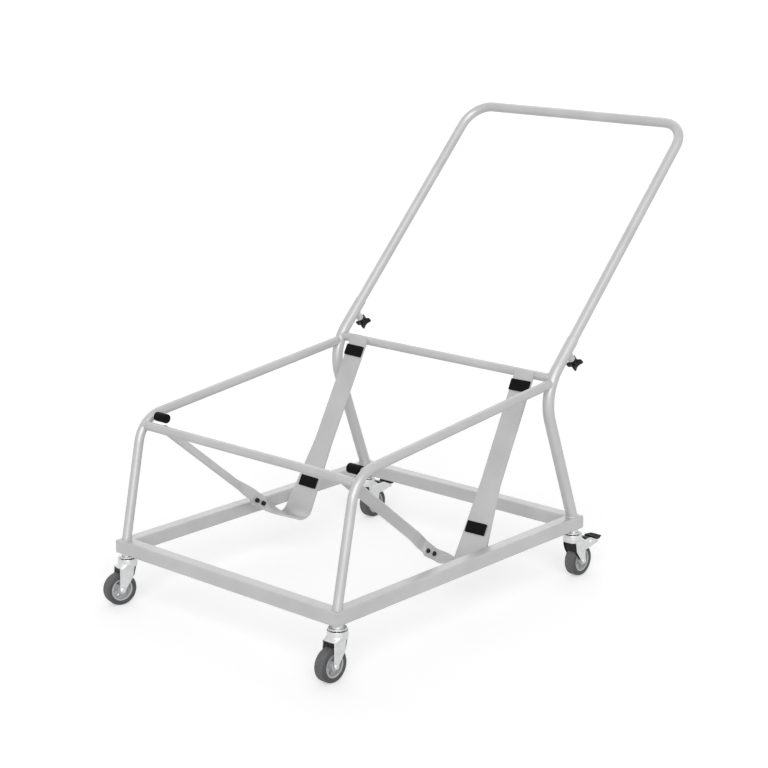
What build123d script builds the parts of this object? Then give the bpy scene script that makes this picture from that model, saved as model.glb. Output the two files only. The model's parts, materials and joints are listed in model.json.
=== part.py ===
"""Chair trolley: a welded tube frame on swivel casters, with a slide-in push handle.

Millimetres. X runs across the trolley, +Y to the rear where the handle is, +Z up from the floor.
The origin is on the floor at the middle of the whole trolley.
"""

import os
from math import asin, atan2, cos, degrees, radians, sin, sqrt, tan

from build123d import *

os.makedirs("parts", exist_ok=True)

# Base frame: square tube with mitred corners
base_width = 650
base_depth = 784
beam_size = 30
beam_wall = 2
beam_corner_radius = 4

# Side tubes: front leg, front bend and rail in one tube
side_tube_od = 20
side_tube_wall = 1.5
leg_foot_inset = 18
leg_lean = 12.3
front_bend_height = 397
front_bend_radius = 70
rail_rise = 5.8

# Push handle: one bent tube that slides into the rear posts
handle_od = 22
handle_wall = 1.5
handle_angle = 45.6
handle_reach = 728
handle_corner_radius = 60
handle_insertion = 68
handle_clearance = 0.3

# Rear posts: post, rear bend and handle socket in one tube
post_wall = 1.2
post_foot_inset = 22
post_lean = 19.7
rear_bend_height = 440
rear_bend_radius = 108
socket_reach = 141.5

# Cross tubes, placed by their angle round the bends that carry them
cross_tube_od = 19
cross_tube_wall = 1.5
front_cross_angle = 31
rear_cross_angle = 50

# Chair pegs with rubber sleeves, on the front bends
peg_angle = 55
peg_diameter = 12
peg_reach = 46
sleeve_diameter = 20
sleeve_gap = 2
sleeve_end = 3

# Chair supports: flat bars on the rear cross tube, with a flared foot bent and twisted into a tongue
support_inset = 82.5
support_width = 51
support_thickness = 5
support_angle = 61.8
support_top = 3
support_splay = 1
support_run = 413.5
support_bend_radius = 22
flare_drop = 251
flare_out = 17
flare_in = 8
tongue_width = 25
tongue_pitch = 31
tongue_reach = 110.5
bend_steps = 5
twist_steps = 7

# Pads on the supports
pad_length = 25
pad_thickness = 4
pad_corner_radius = 2
upper_pad_drop = 19
lower_pad_drop = 338

# Front struts: flat bars from the front cross tube to the tongues, twisted to lap them upright
strut_width = 25
strut_thickness = 5
strut_rise = 2.5
strut_top = 3
strut_end = 17
strut_lean = 42
strut_twist = 60
strut_offset = 9.8
strut_lift = 3.5
strut_steps = 6
joint_inset = 72
joint_lap = 21
screw_spacing = 22
screw_diameter = 6
screw_head_diameter = 11
screw_head_height = 3.5
screw_nut_size = 10
screw_nut_height = 5

# Handle clamps
clamp_drop = 33
boss_diameter = 16
boss_length = 16
stud_diameter = 8
stud_tip_gap = 0.3
stud_grip = 12
knob_gap = 3.5
knob_neck_diameter = 17
knob_neck_height = 5
knob_span = 37
knob_arm = 9
knob_height = 12
knob_hollow_radius = 6
knob_turn = 28

# Casters
caster_height = 112
caster_side_inset = 15
caster_end_inset = 18
caster_trail = 21
front_left_turn = 15
running_clearance = 0.05
stem_diameter = 10
stem_tail = 2
collar_diameter = 24
collar_height = 6
weld_nut_size = 17
weld_nut_height = 8
race_diameter = 37
race_height = 3
ball_diameter = 4
ball_circle = 26
ball_count = 10
kingpin_diameter = 12
kingpin_head_diameter = 20
kingpin_head_height = 3
kingpin_gap = 0.3

# Caster forks: pressed sheet with a round crown and two cheeks
fork_sheet = 2.5
crown_diameter = 42
crown_lip_height = 2.5
crown_lip_wall = 1.5
crown_shoulder = 90
crown_skirt_bottom = 83
cheek_lead = 18
cheek_rear = 28
cheek_corner_radius = 10
cheek_waist_lead = 4
cheek_waist_height = 60
cheek_end_radius = 7

# Caster wheels
wheel_diameter = 70
wheel_width = 26
tread_radius = 6
rim_diameter = 49
rim_wall = 4
rim_inset = 1.5
web_thickness = 8
hub_boss_diameter = 20
hub_side_gap = 0.5
hub_hole_diameter = 8
hub_hole_circle = 30
hub_hole_count = 5
tyre_side_gap = 1.5
axle_diameter = 8
axle_head_size = 13
axle_head_height = 5

# Tyre guards: plastic blocks in the forks, over the leading side of the tyres
guard_gap = 3.5
guard_top_lead = 13
guard_end_angle = 137
guard_start_angle = 84

# Rear caster brakes
brake_pivot_trail = 46
brake_pivot_height = 73.5
brake_pin_diameter = 6
brake_pin_head = 1.5
brake_ear_rear = 75
brake_ear_depth = 8
pedal_hub_radius = 7
pedal_side_gap = 0.3
pedal_front = 62
pedal_tip = 89
pedal_height = 8
pedal_slope = 8
shoe_gap = 1.6
shoe_width = 14

# Worked out from the sizes above
floor = Plane.XY
beam_bottom = caster_height
beam_top = caster_height + beam_size
tube_x = base_width / 2 - beam_size / 2
support_spacing = base_width - 2 * support_inset
joint_spacing = base_width - 2 * joint_inset
post_bore = handle_od + 2 * handle_clearance
post_od = post_bore + 2 * post_wall
side_tube_bore = side_tube_od - 2 * side_tube_wall
cross_tube_bore = cross_tube_od - 2 * cross_tube_wall
caster_x = base_width / 2 - caster_side_inset
caster_y = base_depth / 2 - caster_end_inset
wheel_radius = wheel_diameter / 2


def polar(angle):
    """Unit vector in a side view, from an angle in degrees above +Y."""
    return Vector(cos(radians(angle)), sin(radians(angle)))


# Side view of the leg, rail and post centre lines, measured from the middle of the base
leg_dir = polar(90 - leg_lean)
rail_dir = polar(rail_rise)
post_dir = polar(90 + post_lean)
handle_dir = polar(handle_angle)
clamp_dir = polar(handle_angle - 90)
leg_foot = Vector(leg_foot_inset - base_depth / 2, beam_top)
post_foot = Vector(base_depth / 2 - post_foot_inset, beam_top)
front_corner = leg_foot + leg_dir * ((front_bend_height - beam_top) / leg_dir.Y)
rear_corner = post_foot + post_dir * ((rear_bend_height - beam_top) / post_dir.Y)
front_bend_turn = 90 - leg_lean - rail_rise
rear_bend_turn = 90 + post_lean - handle_angle
front_bend_center = front_corner - leg_dir * (front_bend_radius * tan(radians(front_bend_turn / 2)))
front_bend_center += polar(-leg_lean) * front_bend_radius
rear_bend_center = rear_corner - post_dir * (rear_bend_radius * tan(radians(rear_bend_turn / 2)))
rear_bend_center += polar(post_lean) * rear_bend_radius
socket_top = rear_corner + handle_dir * socket_reach
handle_end = socket_top - handle_dir * handle_insertion
handle_top = rear_corner + handle_dir * handle_reach
clamp_center = socket_top - handle_dir * clamp_drop

# The rail runs on to the centre line of the rear bend
rail_to_center = rear_bend_center - front_corner
rail_across = rail_dir.X * rail_to_center.Y - rail_dir.Y * rail_to_center.X
rail_along = rail_dir.dot(rail_to_center) - sqrt(rear_bend_radius**2 - rail_across**2)
rail_end = front_corner + rail_dir * rail_along

front_cross = front_bend_center + polar(180 - leg_lean - front_cross_angle) * front_bend_radius
peg_center = front_bend_center + polar(180 - leg_lean - peg_angle) * front_bend_radius
rear_cross = rear_bend_center + polar(180 + post_lean - rear_cross_angle) * rear_bend_radius

# Chair supports in side view: down from the rear cross tube, round the bend and along the tongue
bar_down = polar(180 + support_angle)
bar_front = polar(90 + support_angle)
bar_datum = rear_cross + bar_front * (cross_tube_od / 2 + support_thickness)
bend_start = bar_datum + bar_down * support_run
bend_center = bend_start + bar_front * support_bend_radius
bend_mid_radius = support_bend_radius + support_thickness / 2
bend_turn = support_angle + tongue_pitch
tongue_line = polar(180 - tongue_pitch)
bend_end = bend_center + polar(-90 - tongue_pitch) * bend_mid_radius
joint = bend_end + tongue_line * tongue_reach

# Struts: from the bolted joint to just above the middle of the front cross tube
strut_to_tube = front_cross - joint
strut_pitch = degrees(atan2(strut_to_tube.Y, -strut_to_tube.X))
strut_pitch += degrees(asin(strut_rise / strut_to_tube.length))
strut_line = polar(180 - strut_pitch)
strut_reach = strut_line.dot(strut_to_tube)

# The origin is at the middle of the whole trolley, from the front tyres to the handle
turn_cos = cos(radians(front_left_turn))
turn_sin = sin(radians(front_left_turn))
turned_reach = (caster_trail + wheel_radius - tread_radius) * turn_cos
turned_reach += (wheel_width / 2 - tread_radius) * turn_sin + tread_radius
front_reach = caster_y + max(turned_reach, caster_trail + wheel_radius)
rear_reach = handle_top.X + handle_od / 2
base_y = (front_reach - rear_reach) / 2
cheek_inner = wheel_width / 2 + tyre_side_gap
cheek_outer = cheek_inner + fork_sheet
axle_reach = cheek_outer + axle_head_height
axle_corner = axle_head_size / sqrt(3)
left_reach = (caster_trail + axle_corner) * turn_sin + axle_reach * turn_cos
base_x = (left_reach - axle_reach) / 2

# Caster heights
collar_bottom = beam_bottom - collar_height
race_bottom = collar_bottom - race_height
crown_top = race_bottom - ball_diameter - running_clearance
sides = (("left", -1), ("right", 1))
casters = (
    ("front_left", -1, -1, front_left_turn),
    ("front_right", 1, -1, 0),
    ("rear_left", -1, 1, 0),
    ("rear_right", 1, 1, 0),
)


def side_view(x):
    """Plane at x from the middle of the base: its own x runs to the rear and its y up."""
    return Plane(origin=(base_x + x, base_y, 0), x_dir=(0, 1, 0), z_dir=(1, 0, 0))


def place(x, point):
    """Point of a side view in space."""
    return Vector(base_x + x, base_y + point.X, point.Y)


def save(piece, name):
    """Label a finished piece and write it."""
    piece.part.label = name
    export_step(piece.part, f"parts/{name}.step")


def bent_tube(view, points, bend, od, bore=0):
    """Round tube, or a round bar with no bore, along a bent path."""
    with BuildPart() as tube:
        with BuildLine(view) as path:
            FilletPolyline(*[(p.X, p.Y) for p in points], radius=bend)
        with BuildSketch(Plane(origin=path.line @ 0, z_dir=path.line % 0)):
            Circle(od / 2)
            if bore:
                Circle(bore / 2, mode=Mode.SUBTRACT)
        sweep()
    return tube.part


def cross_tube(center, half_length, od, bore=0):
    """Straight tube, or a round bar with no bore, across the trolley."""
    with BuildPart() as tube:
        with BuildSketch(side_view(0)):
            with Locations((center.X, center.Y)):
                Circle(od / 2)
                if bore:
                    Circle(bore / 2, mode=Mode.SUBTRACT)
        extrude(amount=half_length, both=True)
    return tube.part


# Base beams, each cut at 45 degrees where it meets its neighbours
caster_spots = [(base_x + sx * caster_x, base_y + sy * caster_y) for name, sx, sy, turn in casters]
base_middle = Vector(base_x, base_y, beam_bottom)
beam_sides = (
    ("base_front_beam", Vector(1, 0, 0), base_width, base_depth),
    ("base_right_beam", Vector(0, 1, 0), base_depth, base_width),
    ("base_rear_beam", Vector(-1, 0, 0), base_width, base_depth),
    ("base_left_beam", Vector(0, -1, 0), base_depth, base_width),
)
for beam_name, along, beam_length, across in beam_sides:
    inward = Vector(0, 0, 1).cross(along)
    outer_edge = Plane(base_middle - inward * across / 2, x_dir=along)
    with BuildPart() as beam:
        profile_plane = Plane(outer_edge.origin, x_dir=outer_edge.y_dir, z_dir=outer_edge.x_dir)
        with BuildSketch(profile_plane):
            with Locations((beam_size / 2, beam_size / 2)):
                RectangleRounded(beam_size, beam_size, beam_corner_radius)
                inner_size = beam_size - 2 * beam_wall
                inner_radius = max(beam_corner_radius - beam_wall, beam_wall / 4)
                RectangleRounded(inner_size, inner_size, inner_radius, mode=Mode.SUBTRACT)
        extrude(amount=beam_length / 2, both=True)
        for end in (1, -1):
            corner = outer_edge.from_local_coords((end * beam_length / 2, 0, 0))
            normal = outer_edge.x_dir * end + outer_edge.y_dir
            split(bisect_by=Plane(corner, z_dir=normal), keep=Keep.BOTTOM)
        with BuildSketch(floor.offset(beam_bottom)):
            with Locations(caster_spots):
                Circle(stem_diameter / 2 + running_clearance)
        extrude(amount=beam_size / 2, both=True, mode=Mode.SUBTRACT)
    save(beam, beam_name)

# Weld nuts inside the corners, for the caster stems
with BuildPart() as weld_nuts:
    with BuildSketch(floor.offset(beam_bottom + beam_wall)):
        with Locations(caster_spots):
            RegularPolygon(weld_nut_size / 2, 6, major_radius=False)
            Circle(stem_diameter / 2 + running_clearance, mode=Mode.SUBTRACT)
    extrude(amount=weld_nut_height)
save(weld_nuts, "caster_weld_nuts")

# Side tubes and rear posts, with their feet on the beams
foot_length = beam_size / 2
for side_name, side in sides:
    view = side_view(side * tube_x)
    rail_points = [leg_foot - leg_dir * foot_length, front_corner, rail_end]
    post_points = [post_foot - post_dir * foot_length, rear_corner, socket_top]
    post_core = bent_tube(view, post_points, rear_bend_radius, post_od)
    side_core = bent_tube(view, rail_points, front_bend_radius, side_tube_od)
    clamp_plane = Plane(
        place(side * tube_x, clamp_center), x_dir=(1, 0, 0), z_dir=(0, clamp_dir.X, clamp_dir.Y)
    )

    with BuildPart() as side_tube:
        add(bent_tube(view, rail_points, front_bend_radius, side_tube_od, side_tube_bore))
        add(post_core, mode=Mode.SUBTRACT)
        split(bisect_by=floor.offset(beam_top), keep=Keep.TOP)
    save(side_tube, f"{side_name}_side_tube")

    with BuildPart() as rear_post:
        add(bent_tube(view, post_points, rear_bend_radius, post_od, post_bore))
        split(bisect_by=floor.offset(beam_top), keep=Keep.TOP)
        with BuildSketch(clamp_plane):
            Circle(stud_diameter / 2 + running_clearance)
        extrude(amount=post_od, mode=Mode.SUBTRACT)
    save(rear_post, f"{side_name}_rear_post")

    # Threaded boss welded to the back of the socket
    with BuildPart() as clamp_boss:
        with BuildSketch(clamp_plane):
            Circle(boss_diameter / 2)
        extrude(amount=post_od / 2 + boss_length)
        add(post_core, mode=Mode.SUBTRACT)
        chamfer(clamp_boss.edges().filter_by(GeomType.CIRCLE).sort_by(Axis.Z)[0], boss_diameter / 16)
        with BuildSketch(clamp_plane):
            Circle(stud_diameter / 2 + running_clearance)
        extrude(amount=post_od / 2 + boss_length, mode=Mode.SUBTRACT)
    save(clamp_boss, f"{side_name}_clamp_boss")

    # Clamp stud: its tip stops just short of the handle tube
    stud_start = handle_od / 2 + stud_tip_gap
    knob_start = post_od / 2 + boss_length + knob_gap
    with BuildPart() as clamp_stud:
        with BuildSketch(clamp_plane.offset(stud_start)):
            Circle(stud_diameter / 2)
        extrude(amount=knob_start + stud_grip - stud_start)
        chamfer(clamp_stud.edges().filter_by(GeomType.CIRCLE), stud_diameter / 10)
    save(clamp_stud, f"{side_name}_clamp_stud")

    # Star knob with four arms, on a round neck
    with BuildPart() as knob_head:
        knob_axis = Axis(clamp_plane.origin, clamp_plane.z_dir)
        arm_reach = (knob_span - knob_arm) / 2
        with BuildSketch(clamp_plane.offset(knob_start)):
            Circle(knob_neck_diameter / 2)
        extrude(amount=knob_neck_height)
        with BuildSketch(clamp_plane.offset(knob_start + knob_neck_height)) as star:
            with PolarLocations(arm_reach / 2, 4, start_angle=-knob_turn):
                Rectangle(arm_reach, knob_arm)
            with PolarLocations(arm_reach, 4, start_angle=-knob_turn):
                Circle(knob_arm / 2)
            fillet(star.vertices().sort_by_distance((0, 0, 0))[:4], knob_hollow_radius)
        extrude(amount=knob_height)
        fillet(knob_head.faces().sort_by(knob_axis)[-1].edges(), knob_height / 6)
        with BuildSketch(clamp_plane.offset(knob_start)):
            Circle(stud_diameter / 2 + running_clearance)
        extrude(amount=stud_grip + stud_tip_gap, mode=Mode.SUBTRACT)
    save(knob_head, f"{side_name}_knob_head")

    # Peg welded to the front bend, and its rubber sleeve
    peg_plane = Plane(place(side * tube_x, peg_center), z_dir=(-side, 0, 0))
    with BuildPart() as peg:
        with BuildSketch(peg_plane):
            Circle(peg_diameter / 2)
        extrude(amount=peg_reach - sleeve_end)
        add(side_core, mode=Mode.SUBTRACT)
    save(peg, f"{side_name}_peg")
    sleeve_start = side_tube_od / 2 + sleeve_gap
    with BuildPart() as peg_sleeve:
        with BuildSketch(peg_plane.offset(sleeve_start)):
            Circle(sleeve_diameter / 2)
        extrude(amount=peg_reach - sleeve_start)
        fillet(peg_sleeve.edges().filter_by(GeomType.CIRCLE), sleeve_end * 0.8)
        with BuildSketch(peg_plane):
            Circle(peg_diameter / 2)
        extrude(amount=peg_reach - sleeve_end, mode=Mode.SUBTRACT)
    save(peg_sleeve, f"{side_name}_peg_sleeve")

# Cross tubes, coped to the side tubes and posts that they meet
for tube_name, center in (("front_cross_tube", front_cross), ("rear_cross_tube", rear_cross)):
    with BuildPart() as cross:
        add(cross_tube(center, tube_x, cross_tube_od, cross_tube_bore))
        for side_name, side in sides:
            view = side_view(side * tube_x)
            add(bent_tube(view, rail_points, front_bend_radius, side_tube_od), mode=Mode.SUBTRACT)
            add(bent_tube(view, post_points, rear_bend_radius, post_od), mode=Mode.SUBTRACT)
    save(cross, tube_name)

# Push handle: a U in the plane of the two sockets
handle_view = Plane(place(0, handle_end), x_dir=(1, 0, 0), z_dir=(0, -handle_dir.Y, handle_dir.X))
handle_length = (handle_top - handle_end).length
handle_points = [
    Vector(-tube_x, 0),
    Vector(-tube_x, handle_length),
    Vector(tube_x, handle_length),
    Vector(tube_x, 0),
]
with BuildPart() as handle:
    add(bent_tube(handle_view, handle_points, handle_corner_radius, handle_od, handle_od - 2 * handle_wall))
save(handle, "handle_tube")

# Chair supports, struts, pads and their fasteners
front_core = cross_tube(front_cross, tube_x, cross_tube_od)
bend_arc = bend_mid_radius * radians(bend_turn)
twist_length = tongue_reach - joint_lap
bar_edge = support_width / 2
foot_width = support_width + flare_out + flare_in
foot_shift = (flare_out - flare_in) / 2
lap_planes = []
for side_name, side in sides:
    strut_dir = Vector(0, strut_line.X, strut_line.Y)
    strut_up = Vector(0, strut_line.Y, -strut_line.X)
    lap_out = Vector(side, 0, 0)
    tongue_dir = Vector(0, tongue_line.X, tongue_line.Y)
    joint_point = place(side * joint_spacing / 2, joint)
    lap_plane = Plane(joint_point, x_dir=tongue_dir, z_dir=lap_out)
    bar_up = Vector(0, -bar_down.X, -bar_down.Y)
    bar_across = Vector(cos(radians(support_splay)), 0, 0) + bar_up * (side * sin(radians(support_splay)))
    bar_plane = Plane(
        place(side * support_spacing / 2, bar_datum),
        x_dir=bar_across,
        z_dir=(0, bar_front.X, bar_front.Y),
    )
    tongue_root = joint_point - tongue_dir * joint_lap + lap_out * (support_thickness / 2)

    with BuildPart() as support_bar:
        # Flat run, hung on the rear cross tube and flared towards the foot
        with BuildSketch(bar_plane):
            with BuildLine():
                Polyline(
                    (side * bar_edge, support_top),
                    (side * bar_edge, -flare_drop),
                    (side * (bar_edge + flare_out), -support_run),
                    (-side * (bar_edge + flare_in), -support_run),
                    (-side * bar_edge, -flare_drop),
                    (-side * bar_edge, support_top),
                    close=True,
                )
            make_face()
        extrude(amount=-support_thickness)
        # Bend and twist that narrow the bar and turn its outer edge up until it stands on edge
        bend_runs = [bend_arc * step / bend_steps for step in range(bend_steps)]
        twist_runs = [bend_arc + twist_length * step / twist_steps for step in range(twist_steps + 1)]
        for run in bend_runs + twist_runs:
            turn = min(run, bend_arc) / bend_mid_radius
            late = max(run - bend_arc, 0)
            drop = support_run + bend_mid_radius * sin(turn) + late * cos(turn)
            rise = bend_mid_radius * (1 - cos(turn)) + late * sin(turn) - support_thickness / 2
            on_bar = bar_plane.from_local_coords(Vector(side * foot_shift, -drop, rise))
            on_tongue = tongue_root - tongue_dir * (twist_length - late)
            ahead = bar_plane.z_dir * sin(turn) - bar_plane.y_dir * cos(turn)
            face = bar_plane.z_dir * cos(turn) + bar_plane.y_dir * sin(turn)
            part_way = run / (bend_arc + twist_length)
            ease = part_way**2 * (3 - 2 * part_way)
            roll = radians(90 * part_way**3)
            across = bar_plane.x_dir * (side * cos(roll)) + face * sin(roll)
            spot = on_bar * (1 - ease) + on_tongue * ease
            ahead = (ahead * (1 - ease) + tongue_dir * ease).normalized()
            across = across - ahead * across.dot(ahead)
            width = foot_width + (tongue_width - foot_width) * ease
            with BuildSketch(Plane(spot, x_dir=across, z_dir=ahead)):
                Rectangle(width, support_thickness)
        loft()
        # Tongue lapped on the strut
        with BuildSketch(lap_plane):
            SlotCenterToCenter(2 * joint_lap - tongue_width, tongue_width)
            with Locations((-joint_lap / 2, 0)):
                Rectangle(joint_lap, tongue_width)
        extrude(amount=support_thickness)
        with BuildSketch(lap_plane):
            with GridLocations(screw_spacing, 0, 2, 1):
                Circle(screw_diameter / 2)
        extrude(amount=support_thickness, mode=Mode.SUBTRACT)
    save(support_bar, f"{side_name}_support_bar")

    # Strut: lapped end, twist, and a leaning run that is cut level and coped to the front cross tube
    with BuildPart() as front_strut:
        lap_middle = joint_point + strut_up * strut_lift - lap_out * (strut_thickness / 2)
        with BuildSketch(Plane(lap_middle - strut_dir * strut_end, x_dir=strut_up, z_dir=strut_dir)):
            Rectangle(strut_width, strut_thickness)
        extrude(amount=strut_end + joint_lap)
        for step in range(strut_steps + 1):
            part_way = step / strut_steps
            ease = part_way**2 * (3 - 2 * part_way)
            lean = radians(strut_lean * ease)
            across = strut_up * cos(lean) + lap_out * sin(lean)
            spot = lap_middle + strut_dir * (joint_lap + strut_twist * part_way)
            spot += lap_out * (strut_offset * ease)
            section = Plane(spot, x_dir=across, z_dir=strut_dir)
            with BuildSketch(section):
                Rectangle(strut_width, strut_thickness)
        loft()
        with BuildSketch(section):
            Rectangle(strut_width, strut_thickness)
        extrude(amount=strut_reach - joint_lap - strut_twist)
        split(bisect_by=floor.offset(front_cross.Y + strut_top), keep=Keep.BOTTOM)
        add(front_core, mode=Mode.SUBTRACT)
        with BuildSketch(lap_plane):
            with GridLocations(screw_spacing, 0, 2, 1):
                Circle(screw_diameter / 2)
        extrude(amount=-strut_thickness, mode=Mode.SUBTRACT)
    save(front_strut, f"{side_name}_front_strut")
    lap_planes.append(lap_plane)

    for pad_name, drop in (("upper_pad", upper_pad_drop), ("lower_pad", lower_pad_drop)):
        with BuildPart() as pad:
            with BuildSketch(bar_plane):
                with Locations((0, -drop - pad_length / 2)):
                    RectangleRounded(support_width, pad_length, pad_corner_radius)
            extrude(amount=pad_thickness)
            pad_axis = Axis(bar_plane.origin, bar_plane.z_dir)
            fillet(pad.faces().sort_by(pad_axis)[-1].edges(), pad_thickness / 4)
        save(pad, f"{side_name}_{pad_name}")

# Screws with domed heads outside and nuts inside
with BuildPart() as support_screws:
    for lap_plane in lap_planes:
        with BuildSketch(lap_plane.offset(support_thickness)):
            with GridLocations(screw_spacing, 0, 2, 1):
                Circle(screw_head_diameter / 2)
        extrude(amount=screw_head_height, taper=25)
        with BuildSketch(lap_plane.offset(support_thickness)):
            with GridLocations(screw_spacing, 0, 2, 1):
                Circle(screw_diameter / 2)
        extrude(amount=-support_thickness - strut_thickness)
        with BuildSketch(lap_plane.offset(-strut_thickness)):
            with GridLocations(screw_spacing, 0, 2, 1):
                RegularPolygon(screw_nut_size / 2, 6, major_radius=False)
        extrude(amount=-screw_nut_height)
save(support_screws, "support_screws")

# Casters
axle_point = (caster_trail, wheel_radius)
ball_decks = []
for caster_name, side, end, turn in casters:
    braked = end == 1
    trail_dir = Vector(-sin(radians(turn)), end * cos(radians(turn)), 0)
    axle_dir = trail_dir.cross(Vector(0, 0, 1))
    swivel = Vector(base_x + side * caster_x, base_y + end * caster_y, 0)
    caster_view = Plane(swivel, x_dir=trail_dir, z_dir=axle_dir)
    caster_deck = Plane(swivel, x_dir=trail_dir)
    ball_decks.append(caster_deck)

    # Stem: thread into the beam, collar, upper race and riveted kingpin
    kingpin_bottom = crown_top - fork_sheet - kingpin_gap - kingpin_head_height
    stem_top = beam_bottom + beam_wall + weld_nut_height + stem_tail
    with BuildPart() as stem:
        for bottom, top, diameter in (
            (beam_bottom, stem_top, stem_diameter),
            (collar_bottom, beam_bottom, collar_diameter),
            (race_bottom, collar_bottom, race_diameter),
            (kingpin_bottom, race_bottom, kingpin_diameter),
            (kingpin_bottom, kingpin_bottom + kingpin_head_height, kingpin_head_diameter),
        ):
            with BuildSketch(caster_deck.offset(bottom)):
                Circle(diameter / 2)
            extrude(amount=top - bottom)
    save(stem, f"{caster_name}_stem")

    # Fork: round crown drawn down into a skirt, with two cheeks to the axle
    cheek_length = cheek_lead + cheek_rear
    cheek_middle = (cheek_rear - cheek_lead) / 2
    crown_bore = crown_diameter / 2 - fork_sheet
    with BuildPart() as fork:
        with BuildSketch(caster_deck.offset(crown_shoulder)):
            Circle(crown_diameter / 2)
        extrude(amount=crown_top - crown_shoulder)
        with BuildSketch(caster_deck.offset(crown_shoulder)):
            Circle(crown_diameter / 2)
        with BuildSketch(caster_deck.offset(crown_skirt_bottom)):
            with Locations((cheek_middle, 0)):
                RectangleRounded(cheek_length, 2 * cheek_outer, cheek_corner_radius)
        loft()
        with BuildSketch(caster_deck.offset(crown_shoulder)):
            Circle(crown_bore)
        extrude(amount=crown_top - fork_sheet - crown_shoulder, mode=Mode.SUBTRACT)
        with BuildSketch(caster_deck.offset(crown_shoulder)):
            Circle(crown_bore)
        with BuildSketch(caster_deck.offset(crown_skirt_bottom)):
            with Locations((cheek_middle, 0)):
                RectangleRounded(
                    cheek_length - 2 * fork_sheet, 2 * cheek_inner, cheek_corner_radius - fork_sheet
                )
        loft(mode=Mode.SUBTRACT)
        # Lip round the balls
        with BuildSketch(caster_deck.offset(crown_top)):
            Circle(crown_diameter / 2)
            Circle(crown_diameter / 2 - crown_lip_wall, mode=Mode.SUBTRACT)
        extrude(amount=crown_lip_height)
        # Cheeks, with ears for the pedal on a braked caster
        for face in (1, -1):
            with BuildSketch(caster_view.offset(face * cheek_inner)):
                with BuildLine():
                    Polyline(
                        (cheek_corner_radius - cheek_lead, crown_skirt_bottom),
                        (-cheek_waist_lead, cheek_waist_height),
                        (caster_trail - cheek_end_radius, wheel_radius),
                        (caster_trail + cheek_end_radius, wheel_radius),
                        (cheek_rear - cheek_corner_radius / 4, crown_skirt_bottom),
                        close=True,
                    )
                make_face()
                with Locations(axle_point):
                    Circle(cheek_end_radius)
                if braked:
                    with BuildLine():
                        Polyline(
                            (caster_trail, crown_skirt_bottom),
                            (caster_trail, brake_pivot_height - 2 * brake_ear_depth),
                            (brake_ear_rear - brake_ear_depth / 2, brake_pivot_height - brake_ear_depth),
                            (brake_ear_rear, brake_pivot_height - brake_ear_depth / 2),
                            (brake_pivot_trail, crown_skirt_bottom),
                            close=True,
                        )
                    make_face()
            extrude(amount=face * fork_sheet)
        with BuildSketch(caster_view):
            with Locations(axle_point):
                Circle(axle_diameter / 2 + running_clearance)
            if braked:
                with Locations((brake_pivot_trail, brake_pivot_height)):
                    Circle(brake_pin_diameter / 2 + running_clearance)
        extrude(amount=cheek_outer, both=True, mode=Mode.SUBTRACT)
        with BuildSketch(caster_deck.offset(crown_top - fork_sheet)):
            Circle(kingpin_diameter / 2 + running_clearance)
        extrude(amount=fork_sheet, mode=Mode.SUBTRACT)
    save(fork, f"{caster_name}_fork")

    # Axle bolt with its head and nut
    with BuildPart() as axle:
        with BuildSketch(caster_view):
            with Locations(axle_point):
                Circle(axle_diameter / 2)
        extrude(amount=axle_reach, both=True)
        for face in (1, -1):
            with BuildSketch(caster_view.offset(face * cheek_outer)):
                with Locations(axle_point):
                    RegularPolygon(axle_head_size / 2, 6, major_radius=False)
            extrude(amount=face * axle_head_height)
    save(axle, f"{caster_name}_axle")

    # Wheel hub: rim, pierced web and boss
    with BuildPart() as hub:
        with BuildSketch(caster_view):
            with Locations(axle_point):
                Circle(rim_diameter / 2)
                Circle(rim_diameter / 2 - rim_wall, mode=Mode.SUBTRACT)
        extrude(amount=wheel_width / 2 - rim_inset, both=True)
        with BuildSketch(caster_view):
            with Locations(axle_point):
                Circle(rim_diameter / 2 - rim_wall / 2)
                with PolarLocations(hub_hole_circle / 2, hub_hole_count):
                    Circle(hub_hole_diameter / 2, mode=Mode.SUBTRACT)
        extrude(amount=web_thickness / 2, both=True)
        with BuildSketch(caster_view):
            with Locations(axle_point):
                Circle(hub_boss_diameter / 2)
        extrude(amount=cheek_inner - hub_side_gap, both=True)
        with BuildSketch(caster_view):
            with Locations(axle_point):
                Circle(axle_diameter / 2 + running_clearance)
        extrude(amount=cheek_inner, both=True, mode=Mode.SUBTRACT)
    save(hub, f"{caster_name}_hub")

    # Tyre with rounded shoulders
    with BuildPart() as tyre:
        with BuildSketch(caster_view):
            with Locations(axle_point):
                Circle(wheel_radius)
                Circle(rim_diameter / 2, mode=Mode.SUBTRACT)
        extrude(amount=wheel_width / 2, both=True)
        fillet(tyre.edges().filter_by(GeomType.CIRCLE).sort_by(SortBy.RADIUS)[-2:], tread_radius)
    save(tyre, f"{caster_name}_tyre")

    # Guard between the cheeks, under the crown and over the leading side of the tyre
    with BuildPart() as guard:
        guard_radius = wheel_radius + guard_gap
        with BuildSketch(caster_view):
            with BuildLine():
                tyre_side = CenterArc(
                    axle_point, guard_radius, guard_start_angle, guard_end_angle - guard_start_angle
                )
                Polyline(
                    tyre_side @ 1,
                    (-guard_top_lead, crown_skirt_bottom),
                    ((tyre_side @ 0).X, crown_skirt_bottom),
                    tyre_side @ 0,
                )
            make_face()
        extrude(amount=cheek_inner, both=True)
    save(guard, f"{caster_name}_tyre_guard")

    if not braked:
        continue

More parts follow.
